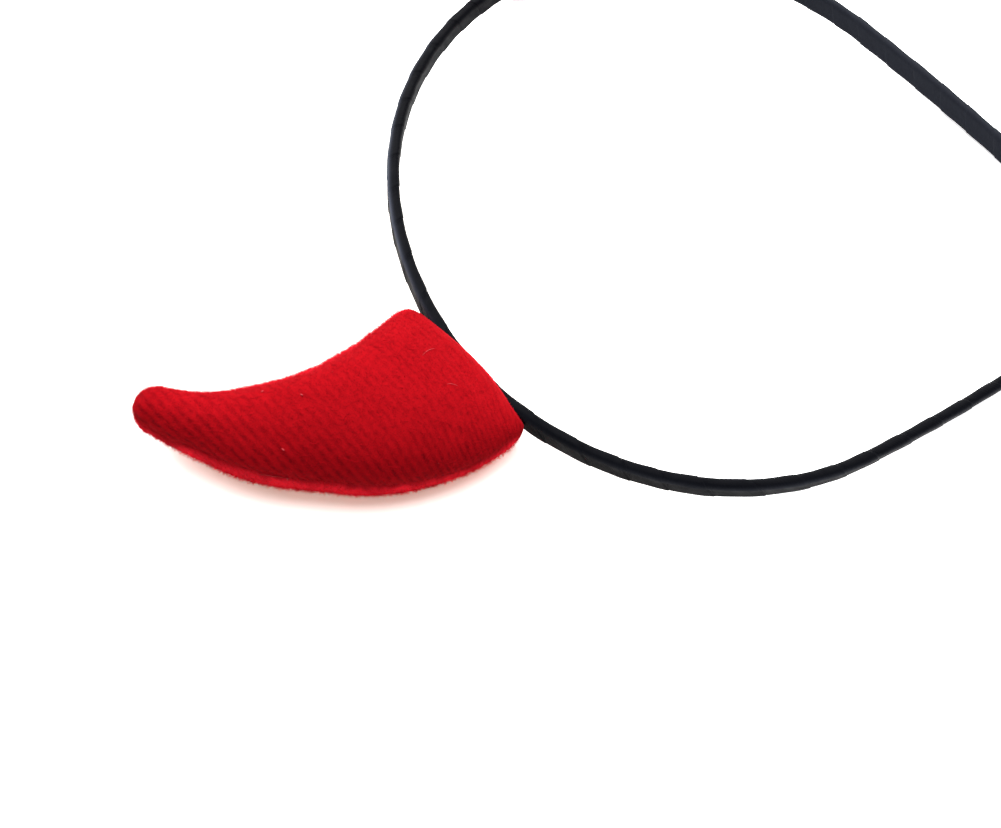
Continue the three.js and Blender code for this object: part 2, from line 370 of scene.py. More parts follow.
def merge_doubles(piece, distance=1e-7):
    """Joins points that lie on each other, and drops faces without area."""
    shape = bmesh.new()
    shape.from_mesh(piece.data)
    bmesh.ops.remove_doubles(shape, verts=shape.verts, dist=distance)
    bmesh.ops.dissolve_degenerate(shape, edges=shape.edges, dist=distance)
    bmesh.ops.recalc_face_normals(shape, faces=shape.faces)
    shape.to_mesh(piece.data)
    shape.free()
    piece.data.polygons.foreach_set("use_smooth", np.ones(len(piece.data.polygons), bool))


def grid_faces(rows, columns, wrap=False):
    """Quads between neighbours on a grid, joined round from the last column to the first if wrap."""
    row, column = np.meshgrid(np.arange(rows - 1), np.arange(columns - (not wrap)), indexing="ij")
    after = (column + 1) % columns
    quads = np.stack([row * columns + column, row * columns + after,
                      (row + 1) * columns + after, (row + 1) * columns + column], -1)
    return quads.reshape(-1, 4)


# The band.

def lap_height(across, turn):
    """Height of the ribbon over the strip, across one lap from its own edge (0) to the next (1): an
    even layer throughout, and from a steep selvedge as far as the overlap a second one. The
    selvedge has a bell-curved bead, and there are slight waves between the laps' edges."""
    edge = smooth_step(across, 0.0, SELVEDGE_STEP)
    double = 1 - smooth_step(across, RIBBON_OVERLAP - OVERLAP_EASE_BEFORE,
                             RIBBON_OVERLAP + OVERLAP_EASE_AFTER)
    selvedge = SELVEDGE_RISE * np.exp(-((across - SELVEDGE_PLACE) / SELVEDGE_REACH) ** 2)
    slack = RIBBON_SLACK * waves(11, turn * 2.3, across * 3) * across * (1 - across) * 4
    return RIBBON_PADDING + edge * (RIBBON_THICKNESS * double + selvedge) + slack


def ribbon_band():
    """The wound band. A point is given by turn, its place along the helix, and across, its place
    over the lap: it lies turn + across pitches from the hoop's start, at turn's share of the way
    round the strip, raised by lap_height. Past the two ends the rows close onto a round cap, whose
    half width falls with a cosine as it reaches out with the sine. The first axis of its edge map
    is how much sheen is painted on it: a bell curve round the strip times one along it."""
    half = (HOOP_LENGTH - STRIP_WIDTH) / 2
    pitch = 2 * half / RIBBON_TURNS
    ring = TURN_POINTS
    turn = np.arange(-2 * ring, (RIBBON_TURNS + 2) * ring + 1) / ring
    turn, across = np.meshgrid(turn, LAP_PLACES, indexing="ij")
    drift = PITCH_DRIFT * waves(3, (turn + across) * 0.45)
    raw = -half + pitch * (turn + across) + drift
    distance = np.clip(raw, -half, half)
    fade = smooth_step(raw, -half, END_FADE - half) * (1 - smooth_step(raw, half - END_FADE, half))
    bulk = CROWN_BULK * np.exp(-(distance / CROWN_BULK_REACH) ** 2)
    out, up = strip_section(turn, (lap_height(across, turn) + bulk) * fade)
    points = to_row(on_hoop(distance, out, up))
    points[..., 2] = np.maximum(points[..., 2], 0)
    uv = np.stack([turn * STRIP_GIRTH, across * pitch], -1)
    # Painted sheen: how much grey reflection is painted on, along the upper outer edge and over the
    # right leg.
    share = np.mod(turn + 0.5, 1) - 0.5
    painted_sheen = (np.exp(-((share - PAINTED_SHEEN_PLACE) / PAINTED_SHEEN_WIDTH) ** 2)
           * (PAINTED_SHEEN_STRENGTH + PAINTED_SHEEN_UNEVEN * waves(5, distance * 0.12)))
    near_crown = np.exp(-((distance - PAINTED_SHEEN_MIDDLE) / PAINTED_SHEEN_REACH) ** 2)
    painted_sheen = painted_sheen * (PAINTED_SHEEN_REST + (1 - PAINTED_SHEEN_REST) * near_crown)
    painted_sheen = np.maximum(painted_sheen, LEG_PAINTED_SHEEN * smooth_step(distance, LEG_PAINTED_SHEEN_START, LEG_PAINTED_SHEEN_FULL))
    grid = np.arange(turn.size).reshape(turn.shape)
    inner = np.stack([grid[:-1, :-1], grid[1:, :-1], grid[1:, 1:], grid[:-1, 1:]], -1).reshape(-1, 4)
    lap = np.stack([grid[:-1 - ring, -1], grid[1:-ring, -1], grid[1 + ring:, 0], grid[ring:-1, 0]], -1)
    quads = np.concatenate([inner, lap])
    flat = raw.ravel()[quads]
    quads = quads[~((flat <= -half).all(1) | (flat >= half).all(1))]
    cap_points = CAP_RINGS * ring + 1
    painted_sheen_maps = [np.stack([painted_sheen, 0 * painted_sheen], -1).reshape(-1, 2), np.zeros((2 * cap_points, 2))]
    pieces, uvs, faces, fans = [points.reshape(-1, 3)], [uv.reshape(-1, 2)], [quads], []
    start = turn.size
    for side in (-1, 1):
        angle = np.linspace(0, math.pi / 2, CAP_RINGS)[:, None]
        share = np.arange(ring)[None] / ring
        width = STRIP_WIDTH / 2 * np.cos(angle)
        caps_out, caps_up = [], []
        for step in width[:, 0]:
            cap_out, cap_up = strip_section(share[0], 0, max(step, CAP_LEAST_HALF_WIDTH))
            caps_out.append(cap_out)
            caps_up.append(cap_up)
        along = side * (half + STRIP_WIDTH / 2 * np.sin(angle)) + 0 * share
        cap = to_row(on_hoop(along, np.array(caps_out), np.array(caps_up)))
        tip = to_row(hoop_at(side * HOOP_LENGTH / 2)[0])[None]
        last = (CAP_RINGS - 1) * ring + np.arange(ring)
        fan = np.stack([last, np.roll(last, -1), np.full(ring, CAP_RINGS * ring)], -1)
        cap_uv = np.stack([share + 0 * angle, angle + 0 * share], -1).reshape(-1, 2)
        pieces += [cap.reshape(-1, 3), tip]
        uvs += [cap_uv * CAP_CLOTH_SCALE, [[0, 0]]]
        faces += [grid_faces(CAP_RINGS, ring, wrap=True) + start]
        fans += [fan + start]
        start += cap_points
    maps = {"cloth": np.concatenate(uvs), "edge": np.concatenate(painted_sheen_maps)}
    return make_mesh("ribbon_band", np.concatenate(pieces), faces + fans, maps)


# The horns.

def section_share(column, along):
    """A column of HORN_SECTIONS as a smooth curve: a cubic between two rows with the slope at each
    row taken from its neighbours."""
    places, values = HORN_SECTIONS[:, 0], HORN_SECTIONS[:, column]
    slopes = np.concatenate([
        [(values[1] - values[0]) / (places[1] - places[0])],
        (values[2:] - values[:-2]) / (places[2:] - places[:-2]),
        [(values[-1] - values[-2]) / (places[-1] - places[-2])],
    ])
    after = np.clip(np.searchsorted(places, along), 1, len(places) - 1)
    before = after - 1
    span = places[after] - places[before]
    t = np.clip((along - places[before]) / span, 0, 1)
    return (values[before] * (1 + 2 * t) * (1 - t) ** 2 + values[after] * t * t * (3 - 2 * t)
            + span * t * (1 - t) * (slopes[before] * (1 - t) - slopes[after] * t))


def horn_stations(refine):
    """Along, inset, width and height of each ring of a horn: a quarter round over the strip, even
    steps along the body, and a quarter round at the tip."""
    body_start, body_end = BASE_ROUNDING - BASE_OVERLAP, HORN_LENGTH - HORN_TIP
    base, body, tip = (np.arange(1, rows * refine + 1) / (rows * refine)
                       for rows in (BASE_ROWS, BODY_ROWS, TIP_ROWS))
    base, tip = base * math.pi / 2, tip[:-1] * math.pi / 2
    along = np.concatenate([BASE_ROUNDING * (1 - np.cos(base)) - BASE_OVERLAP,
                            body_start + (body_end - body_start) * body,
                            body_end + HORN_TIP * np.sin(tip)])
    inset = np.concatenate([BASE_ROUNDING * (1 - np.sin(base)), 0 * body, 0 * tip])
    width = np.concatenate([0 * base + 1, 0 * body + 1, np.cos(tip)])
    height = np.concatenate([np.sin(base), 0 * body + 1, np.cos(tip)])
    return along, inset, width, height


def horn_place(side, along, across, up):
    """A place in a horn: along its arc, across it towards the crown, and up from the seam."""
    root, out = hoop_at(side * HORN_PLACE)
    crownward = side * np.array([-out[1], out[0], 0])
    angle = along / HORN_BEND_RADIUS
    reach = HORN_BEND_RADIUS - across
    point = (root + out * (reach * np.sin(angle))[..., None]
             + crownward * (HORN_BEND_RADIUS - reach * np.cos(angle))[..., None])
    point[..., 2] = up
    return point


def horn_form(side, refine, slim=0.0):
    """The rings of a horn: superellipse sections with their own half widths to either side and half
    heights above and below, square to the horn's arc; slim draws them in all round. The bow grows
    from none in the middle of the base to its corners as c over BOW_SPREAD + (1 - BOW_SPREAD) c,
    where c is the cosine squared, and falls evenly to none over BASE_BOW_REACH."""
    along, inset, width, height = (value[:, None] for value in horn_stations(refine))
    share = along / (HORN_LENGTH - HORN_TIP)
    count = RING_POINTS * refine
    angle = side * np.arange(count)[None] * 2 * math.pi / count
    cos, sin = np.cos(angle), np.sin(angle)
    half_width = np.where(cos > 0, section_share(CROWNWARD, share), section_share(OUTWARD, share))
    half_height = np.where(sin > 0, section_share(RISE, share) * HORN_RISE,
                           section_share(DEPTH, share) * HORN_DEPTH)
    full_cos = np.sign(cos) * np.abs(cos) ** (2 / CLOTH_FULLNESS)
    full_sin = np.sign(sin) * np.abs(sin) ** (2 / CLOTH_FULLNESS)
    bow = (np.where(cos > 0, BASE_BOW, OUTER_BASE_BOW) * cos ** 2
           / (BOW_SPREAD + (1 - BOW_SPREAD) * cos ** 2)
           * np.maximum(0, 1 - (along + BASE_OVERLAP) / BASE_BOW_REACH))
    across = full_cos * (half_width * HORN_WIDTH - inset - slim) * width
    up = full_sin * (half_height - slim) * height
    return horn_place(side, along + bow, across, up), along + 0 * cos


def grid_normals(points):
    """Outward unit normals of a ring grid: the cross product of its differences both ways."""
    around = np.roll(points, -1, 1) - np.roll(points, 1, 1)
    lengthwise = np.gradient(points, axis=0)
    normal = np.cross(around, lengthwise)
    return normal / np.maximum(np.linalg.norm(normal, axis=-1, keepdims=True), 1e-9)


def ring_skin(rings, columns, first_pole, last_pole):
    """Faces over rings of points and to a pole before the first and after the last."""
    ring = np.arange(columns)
    after = np.roll(ring, -1)
    last = (rings - 1) * columns
    first_fan = np.stack([after, ring, 0 * ring + first_pole], -1)
    last_fan = np.stack([last + ring, last + after, 0 * ring + last_pole], -1)
    return grid_faces(rings, columns, wrap=True), np.concatenate([first_fan, last_fan])


def skin_object(name, points, first_pole, last_pole, uv=None):
    """A closed object over a grid of rings with a pole at each end."""
    rings, columns = points.shape[:2]
    quads, fans = ring_skin(rings, columns, rings * columns, rings * columns + 1)
    everything = np.concatenate([points.reshape(-1, 3), [first_pole, last_pole]])
    maps = {key: np.concatenate([pairs.reshape(-1, 2), [pairs[0].mean(0), pairs[-1].mean(0)]])
            for key, pairs in (uv or {}).items()}
    return make_mesh(name, everything, (quads, fans), maps)


def swell(side):
    """How far the stuffing pushes each point of the coarse grid: a slimmer horn is blown up as cloth
    held at its base. From its movement the mean of each ring, which would bend the horn, and the mean
    growth are taken away, and the rest is kept under SWELL_CAP. Millimetres, hoop plane."""
    slim, _ = horn_form(side, 1, slim=SWELL_SLIM)
    rings, columns = slim.shape[:2]
    small = slim * SWELL_SCALE
    piece = skin_object("stuffing", small, small[0].mean(0), small[-1].mean(0))
    group = piece.vertex_groups.new(name="held")
    held_rings = BASE_ROWS + 2
    group.add(list(range(held_rings * columns)) + [rings * columns], 1.0, "REPLACE")
    cloth = piece.modifiers.new("cloth", "CLOTH")
    settings = cloth.settings
    settings.quality = 8
    settings.mass = 0.3
    settings.tension_stiffness = settings.compression_stiffness = 12
    settings.shear_stiffness = 6
    settings.bending_stiffness = 0.4
    settings.use_pressure = True
    settings.uniform_pressure_force = 12
    settings.vertex_group_mass = "held"
    settings.pin_stiffness = 1
    settings.effector_weights.gravity = 0
    cloth.collision_settings.use_collision = False
    scene = bpy.context.scene
    for step in range(1, SWELL_STEPS + 1):
        scene.frame_set(step)
    ready = piece.evaluated_get(bpy.context.evaluated_depsgraph_get())
    found = np.empty(len(ready.data.vertices) * 3, np.float32)
    ready.data.vertices.foreach_get("co", found)
    scene.frame_set(1)
    bpy.data.objects.remove(piece)
    moved = found.reshape(-1, 3)[:rings * columns].reshape(rings, columns, 3) / SWELL_SCALE - slim
    outward = grid_normals(slim)
    moved -= moved.mean(1, keepdims=True)
    moved -= outward * (moved * outward).sum(-1, keepdims=True).mean()
    size = np.linalg.norm(moved, axis=-1, keepdims=True)
    return moved * (SWELL_CAP * np.tanh(size / SWELL_CAP) / np.maximum(size, 1e-9))


def refined(field, refine):
    """A coarse ring field on the finer grid: straight interpolation along and round, smoothed by
    passes of quarter, half, quarter averaging, three for each finer step."""
    rings = np.arange(1, (field.shape[0] + 1) * refine) / refine - 1
    low = np.clip(np.floor(rings).astype(int), 0, field.shape[0] - 1)
    high = np.clip(low + 1, 0, field.shape[0] - 1)
    t = np.clip(rings - low, 0, 1)[:, None, None]
    rows = field[low] * (1 - t) + field[high] * t
    s = (np.arange(refine) / refine)[None, None, :, None]
    fine = rows[:, :, None] * (1 - s) + np.roll(rows, -1, 1)[:, :, None] * s
    fine = fine.reshape(len(rings), -1, field.shape[2])
    for _ in range(3 * refine):
        fine = (np.roll(fine, 1, 1) + 2 * fine + np.roll(fine, -1, 1)) / 4
        padded = np.concatenate([fine[:1], fine, fine[-1:]])
        fine = (padded[:-2] + 2 * padded[1:-1] + padded[2:]) / 4
    return fine


def panel_layout(side, points, along):
    """The two panels of a horn. Distances are measured over the cloth, up from the outer edge and up
    from the crownward one; the outer seam lies rolled up by a bell curve of the way along. Gives the
    place on the flat panel in millimetres, which panel, and the ways from both seams."""
    columns = points.shape[1]
    half = columns // 2
    step = np.linalg.norm(np.roll(points, -1, 1) - points, axis=-1)
    around = np.cumsum(step, 1) - step
    whole, middle = step.sum(1, keepdims=True), around[:, half:half + 1]
    first = np.arange(columns) < half
    from_outer = np.where(first, middle - around, around - middle)
    from_crown = np.where(first, around, whole - around)
    above = np.where(first == (side > 0), 1, -1)
    outer, crown = above * from_outer, above * from_crown
    upper_size, lower_size = (middle, whole - middle) if side > 0 else (whole - middle, middle)
    roll = SEAM_ROLL + SEAM_ROLL_MORE * np.exp(-((along - SEAM_ROLL_PLACE) / SEAM_ROLL_REACH) ** 2)
    outer_seam = outer - roll - SEAM_WANDER * waves(71 + side, along * 0.7)
    upper = np.where(from_outer < from_crown, outer_seam > 0, crown > 0)
    over = np.where(upper, outer - upper_size / 2, -outer - lower_size / 2)
    plan = horn_place(side, along, over, 0 * over)[..., :2]
    return plan, upper, outer_seam, crown


def horn_cloth(side):
    """The finished cloth of one horn, in hoop-plane millimetres: the form, the swell of the stuffing,
    the seam drawn in along both edges, small lumps, and the relief of the ribs. Also its place over
    and along the ribs, how much light is painted on its edges, how deep the ribs' relief and the
    shade painted in their valleys are, and the way along the horn."""
    form, along = horn_form(side, REFINE)
    form = form + refined(swell(side), REFINE)
    plan, upper, outer_seam, crown = panel_layout(side, form, along)
    x, y = np.moveaxis(plan, -1, 0)
    panel = np.where(upper, 1.0, -1.0)
    # The seam: a narrow groove at both edges, and a wider dip of the outer one.
    to_seam = np.minimum(np.abs(outer_seam), np.abs(crown))
    base = smooth_step(along, *SEAM_BASE_FADE)
    fold = np.exp(-(to_seam / SEAM_HALF_WIDTH) ** 2) * base
    draw = SEAM_DRAW * np.exp(-(outer_seam / SEAM_DRAW_WIDTH) ** 2) * base
    pucker = 1 + SEAM_PUCKER * waves(21 + side, along * 1.3)
    # The ribs: straight on the flat panel, apart from a slow waver, a quicker one near the base, and
    # a fan that grows with the square of the nearness to the outer corner of the base.
    near_base = 1 - smooth_step(along, *BASE_RIB_FADE)
    drift = (RIB_DRIFT * waves(31 + side, x * 0.09, y * 0.09)
             + BASE_RIB_DRIFT * near_base * waves(91 + side, x * 0.35, y * 0.35))
    turn = RIB_ANGLE if side < 0 else math.pi / 2 - RIB_ANGLE
    angle = np.where(upper, turn, math.pi - turn)
    fan = RIB_FAN * np.maximum(0, RIB_FAN_REACH - np.hypot(along, outer_seam)) ** 2
    over_ribs = -x * np.sin(angle) + y * np.cos(angle) + drift - fan
    along_ribs = x * np.cos(angle) + y * np.sin(angle)
    ridge = 0.5 - 0.5 * np.cos(2 * math.pi * over_ribs / RIB_PITCH)
    # How deep the ribs' relief and their painted shade are: most by the outer seam, on the shaded side.
    by_seam = (np.exp(-(outer_seam / RIB_DEPTH_AND_SHADE_REACH) ** 2)
               * (RIB_DEPTH_AND_SHADE_AT_BASE + (1 - RIB_DEPTH_AND_SHADE_AT_BASE) * smooth_step(along, 0, RIB_DEPTH_AND_SHADE_FULL)))
    rib_depth_and_shade = RIB_DEPTH_AND_SHADE_LEAST + RIB_DEPTH_AND_SHADE_BY_SEAM * by_seam
    firm = 1 + RIB_UNEVEN * waves(61 + side, over_ribs * 1.1, along_ribs * 0.8, panel)
    # Lumps of the filling and of the cloth.
    lumps = (LUMP_HEIGHT * waves(41 + side, x * 0.22, y * 0.22, panel)
             * smooth_step(along, *LUMP_BASE_FADE))
    small = SMALL_LUMP_HEIGHT * waves(51 + side, x * 0.9, y * 0.9, panel)
    raised = (lumps + small + RIB_RELIEF * rib_depth_and_shade * firm * (ridge - 0.5) * (1 - fold)
              - SEAM_DEPTH * fold * pucker - draw)
    points = form + grid_normals(form) * raised[..., None]
    # Painted light on the edges: light bounced up from the table below the outer seam, and rim light
    # from behind on the crown side and along the band.
    lower_edge = (smooth_step(-outer_seam, *LOWER_EDGE_FADE)
                  * np.exp(-(outer_seam / LOWER_EDGE_REACH) ** 2)
                  * (LOWER_EDGE + LOWER_EDGE_UNEVEN * waves(81 + side, x * 0.8, y * 0.8))
                  * (1 - LOWER_EDGE_TIP_LESS * smooth_step(along, *LOWER_EDGE_TIP_FADE)))
    middle = np.exp(-((along - HORN_MIDDLE) / HORN_MIDDLE_REACH) ** 2)
    crown_edge = np.exp(-((crown - CROWN_EDGE_PLACE - CROWN_EDGE_PLACE_MORE * middle)
                          / (CROWN_EDGE_REACH + CROWN_EDGE_REACH_MORE * middle)) ** 2)
    base_edge = np.exp(-((along + BASE_OVERLAP - BASE_EDGE_PLACE) / BASE_EDGE_REACH) ** 2)
    edge = np.maximum(np.maximum(lower_edge, CROWN_EDGE * crown_edge) * base, BASE_EDGE * base_edge)
    return points, {"cloth": np.stack([over_ribs, along_ribs], -1),
                    "edge": np.stack([edge, rib_depth_and_shade], -1)}, along


def lie_on_table(points):
    """Presses what is below the table up to it, with a soft edge: half of z plus half of the root of
    z squared plus softness squared. Row metres."""
    points = points.copy()
    z = points[..., 2]
    points[..., 2] = (z + np.sqrt(z * z + TABLE_SOFTNESS ** 2)) / 2
    return points


def band_slot(side):
    """A closed tube a clearance bigger than the wound band, through a horn's base."""
    reach = np.linspace(-1, 1, SLOT_RINGS)[:, None] * HORN_WIDTH * SLOT_REACH + side * HORN_PLACE
    share = np.arange(SLOT_POINTS)[None] / SLOT_POINTS
    out, up = strip_section(share + 0 * reach, RIBBON_PADDING + RIBBON_THICKNESS + BAND_CLEARANCE)
    points = to_row(on_hoop(reach + 0 * share, out, up))
    ends = to_row(hoop_at(reach[[0, -1], 0])[0])
    tube = skin_object("slot", points, ends[0], ends[1])
    merge_doubles(tube)
    return tube


def cut(piece, tool):
    """Takes the tool's room out of the piece and removes the tool."""
    carve = piece.modifiers.new("slot", "BOOLEAN")
    carve.operation = "DIFFERENCE"
    carve.solver = "MANIFOLD"
    carve.object = tool
    ready = piece.evaluated_get(bpy.context.evaluated_depsgraph_get())
    mesh = bpy.data.meshes.new_from_object(ready)
    piece.modifiers.clear()
    piece.data = mesh
    bpy.data.objects.remove(tool)


def unit(vectors):
    """Vectors brought to length 1."""
    return vectors / np.maximum(np.linalg.norm(vectors, axis=-1, keepdims=True), 1e-12)


def nap_fibres(roots, normals, lean, length, width):
    """Short fibres, each a closed spike: a triangle about its root, and one end, which lies its
    length away between the normal and the lean."""
    way = unit(normals + lean)
    first = unit(np.cross(way, rng.normal(size=roots.shape)))
    second = np.cross(way, first)
    start = roots - normals * NAP_ROOT
    turns = np.arange(3) * 2 * math.pi / 3
    ring = (start[:, None] + first[:, None] * np.cos(turns)[:, None] * width[:, None, None]
            + second[:, None] * np.sin(turns)[:, None] * width[:, None, None])
    end = start + way * length[:, None]
    points = np.concatenate([ring, end[:, None]], 1).reshape(-1, 3)
    base = np.arange(len(roots))[:, None] * NAP_POINTS
    faces = np.concatenate([base + [0, 1, 3], base + [1, 2, 3], base + [2, 0, 3], base + [0, 2, 1]])
    return points, faces


def scattered(points, normals, count):
    """Random places on a ring grid, as many to each square millimetre: a cell drawn by its area and
    a place within it, and none by the table. Gives places, normals, and the cells' rows and
    columns."""
    across = np.roll(points, -1, 1)[:-1] - points[:-1]
    lengthwise = points[1:] - points[:-1]
    area = np.linalg.norm(np.cross(across, lengthwise), axis=-1)
    area[points[:-1, :, 2] < NAP_FREE_HEIGHT] = 0
    cells = rng.choice(area.size, count, p=(area / area.sum()).ravel())
    row, column = np.unravel_index(cells, area.shape)
    u, v = rng.random((2, count, 1))
    roots = points[row, column] + across[row, column] * u + lengthwise[row, column] * v
    return roots, normals[row, column], row, column


def laid_fibres(surface, normals, start, end, curl, lift, radius):
    """Fibres laid on a ring grid. Each runs from start to end, both given as row and column, with a
    sideways bow of curl times 4t(1-t), and rises by lift times t squared. It is a three-sided cord
    whose radius is a half sine with blunt ends."""
    steps = FIBRE_STEPS
    t = np.linspace(0, 1, steps)[None, :, None]
    span = (end - start)[:, None]
    place = start[:, None] + span * t + span[..., ::-1] * [1, -1] * curl[:, None, None] * 4 * t * (1 - t)
    row = np.clip(place[..., 0], 0, len(surface) - 1.001)
    column = np.mod(place[..., 1], surface.shape[1])
    r, c = np.floor(row).astype(int), np.floor(column).astype(int)
    after = (c + 1) % surface.shape[1]
    u, v = (row - r)[..., None], (column - c)[..., None]
    centre = ((surface[r, c] * (1 - v) + surface[r, after] * v) * (1 - u)
              + (surface[r + 1, c] * (1 - v) + surface[r + 1, after] * v) * u)
    up = normals[r, c]
    centre = centre + up * (radius[:, None, None] + lift[:, None, None] * t * t)
    way = np.gradient(centre, axis=1)
    first = unit(np.cross(way, up))
    second = unit(np.cross(first, way))
    thick = radius[:, None, None] * (FIBRE_END + (1 - FIBRE_END) * np.sin(math.pi * t))
    turn = np.arange(3) * 2 * math.pi / 3
    ring = (centre[:, :, None] + (first * thick)[:, :, None] * np.cos(turn)[:, None]
            + (second * thick)[:, :, None] * np.sin(turn)[:, None])
    base = np.arange(len(start))[:, None, None] * steps * 3
    quads = (grid_faces(steps, 3, wrap=True)[None, :, ::-1] + base).reshape(-1, 4)
    last = 3 * steps - 3
    ends = (np.array([[0, 1, 2], [last, last + 2, last + 1]])[None] + base).reshape(-1, 3)
    return ring.reshape(-1, 3), (quads, ends)


def grid_place(along, share):
    """Row and column of a ring grid from the way along the horn and the share of the way round."""
    rows = horn_stations(REFINE)[0]
    return np.stack([np.interp(along, rows, np.arange(len(rows))), share * RING_POINTS * REFINE], -1)


# Finishes.

def linear(hex_code, alpha=1.0):
    """A colour given as sRGB hex, as the linear values that shaders take."""
    values = [int(hex_code[i:i + 2], 16) / 255 for i in (1, 3, 5)]
    return (*[v / 12.92 if v <= 0.04045 else ((v + 0.055) / 1.055) ** 2.4 for v in values], alpha)


def add(tree, kind, inputs=(), **settings):
    """Adds a node, sets its settings, and sets or links its inputs by name or number."""
    node = tree.nodes.new(kind)
    for name, value in settings.items():
        setattr(node, name, value)
    for name, value in dict(inputs).items():
        if isinstance(value, bpy.types.NodeSocket):
            tree.links.new(value, node.inputs[name])
        else:
            node.inputs[name].default_value = value
    return node


def material(name):
    """A new node material without nodes, and its tree."""
    made = bpy.data.materials.new(name)
    made.use_nodes = True
    made.node_tree.nodes.clear()
    return made, made.node_tree


def shaded(made, inputs):
    """Ends a material in one shader with these inputs, and gives it back."""
    shader = add(made.node_tree, "ShaderNodeBsdfPrincipled", inputs)
    add(made.node_tree, "ShaderNodeOutputMaterial", {0: shader.outputs[0]})
    return made


def map_axes(tree, name):
    """One of the piece's own UV maps: both axes together, and each of them."""
    both = add(tree, "ShaderNodeUVMap", uv_map=name).outputs[0]
    axes = add(tree, "ShaderNodeSeparateXYZ", {0: both}).outputs
    return both, axes[0], axes[1]


def object_place(tree):
    """The place on the piece, in metres."""
    return add(tree, "ShaderNodeTexCoord").outputs["Object"]


def noise(tree, place, scale, detail=2.0, roughness=0.5):
    """Cloudy noise from 0 to 1."""
    inputs = {0: place, "Scale": scale, "Detail": detail, "Roughness": roughness}
    return add(tree, "ShaderNodeTexNoise", inputs).outputs[0]


def ramp(tree, value, low, high, first, last, course="LINEAR"):
    """A value between low and high carried to between first and last, and held there."""
    inputs = {0: value, 1: low, 2: high, 3: first, 4: last}
    return add(tree, "ShaderNodeMapRange", inputs, interpolation_type=course).outputs[0]


def worked_out(tree, operation, *values, clamp=False):
    """One operation on up to three values."""
    inputs = dict(enumerate(values))
    return add(tree, "ShaderNodeMath", inputs, operation=operation, use_clamp=clamp).outputs[0]


def blend(tree, share, first, second):
    """A colour between two, each given as sRGB hex or as the outcome of a node."""
    first, second = (linear(one) if isinstance(one, str) else one for one in (first, second))
    return add(tree, "ShaderNodeMix", {0: share, 6: first, 7: second}, data_type="RGBA").outputs[2]


def bumps(tree, height, strength, distance):
    """The normal over small bumps of a height, distance metres high."""
    inputs = {"Height": height, "Strength": strength, "Distance": distance}
    return add(tree, "ShaderNodeBump", inputs).outputs[0]


def wool_twill():
    """Brushed wool twill, piece-dyed red: diagonal ribs blurred by a raised nap, dull and without
    gloss. Shade is painted into the rib valleys, and light onto the edges, where the nap stands up."""
    made, tree = material("brushed_wool_twill_red")
    cloth, over_ribs, _ = map_axes(tree, "cloth")
    _, painted_edge_light, rib_depth_and_shade = map_axes(tree, "edge")
    # The nap pulls the ribs out of line by a few tenths of a millimetre.
    pull = noise(tree, cloth, 0.8)
    pulled = worked_out(tree, "MULTIPLY_ADD", pull, 0.5, over_ribs)
    # Ribs RIB_PITCH apart: the first UV axis runs over them and is in millimetres.
    cycle = worked_out(tree, "MULTIPLY", pulled, 2 * math.pi / RIB_PITCH)
    wave = worked_out(tree, "COSINE", cycle)
    valley = ramp(tree, wave, -0.7, 1.0, 0.0, 1.0, "SMOOTHSTEP")
    # Yarn ends along the ribs, about 0.8 mm wide and 1.4 mm long, break the valleys up.
    stretched = add(tree, "ShaderNodeMapping", {0: cloth, "Scale": (1.2, 0.7, 1.0)})
    yarns = noise(tree, stretched.outputs[0], 1.0, 3.0)
    breaks = ramp(tree, yarns, 0.36, 0.64, 0.05, 1.0)
    valley = worked_out(tree, "MULTIPLY", valley, breaks)
    # Matted nap in tufts of about 0.6 mm, and patches of some millimetres where it is worn.
    tufts = noise(tree, cloth, 1.7, 3.0, 0.6)
    patch = noise(tree, cloth, 0.16, 3.0)
    shade = ramp(tree, tufts, 0.32, 0.64, 0.27, 0.0)
    # Painted shade in the rib valleys, added to the tufts' shade, darkens the colour.
    dark = worked_out(tree, "MULTIPLY_ADD", valley, 0.66, shade)
    # The painted shade is deeper by the outer seam, on the shaded side, and less on the upper side.
    dark = worked_out(tree, "MULTIPLY", dark, rib_depth_and_shade, clamp=True)
    colour = blend(tree, patch, "#80060D", "#8E0810")
    colour = blend(tree, dark, colour, "#66030A")
    # Painted light: the edges are lighter, tuft by tuft, for rim light from behind and light bounced up
    # from the table.
    painted_light = ramp(tree, painted_edge_light, 0.1, 0.9, 0.0, 1.0)
    matted = ramp(tree, tufts, 0.35, 0.6, 0.6, 1.0)
    painted_light = worked_out(tree, "MULTIPLY", painted_light, matted)
    colour = blend(tree, painted_light, colour, "#DC1E2E")
    # Fibre ends on the edges glow where light comes from behind them.
    fuzz = ramp(tree, painted_edge_light, 0.0, 1.0, 0.06, 0.6)
    height = worked_out(tree, "MULTIPLY_ADD", valley, -0.6, tufts)
    return shaded(made, {
        "Base Color": colour, "Roughness": 0.95, "Specular IOR Level": 0.02,
        "Sheen Weight": fuzz, "Sheen Roughness": 0.4, "Sheen Tint": linear("#FF2A38"),
        "Normal": bumps(tree, height, 0.2, 0.0003)})


def wool_nap():
    """Loose wool fibre ends, dyed with the cloth: dull, and painted lighter on the cloth's edges."""
    made, tree = material("wool_nap_red")
    # Tone changes over about a millimetre.
    tone = noise(tree, object_place(tree), 900.0, 1.0)
    colour = blend(tree, tone, "#860611", "#A20A16")
    # Painted light: lighter where the cloth's edges have painted rim light and bounce light.
    _, painted_edge_light, _ = map_axes(tree, "edge")
    colour = blend(tree, painted_edge_light, colour, "#E42434")
    return shaded(made, {
        "Base Color": colour, "Roughness": 0.9, "Specular IOR Level": 0.02,
        "Sheen Weight": 0.15, "Sheen Roughness": 0.5, "Sheen Tint": linear("#FF2A38")})


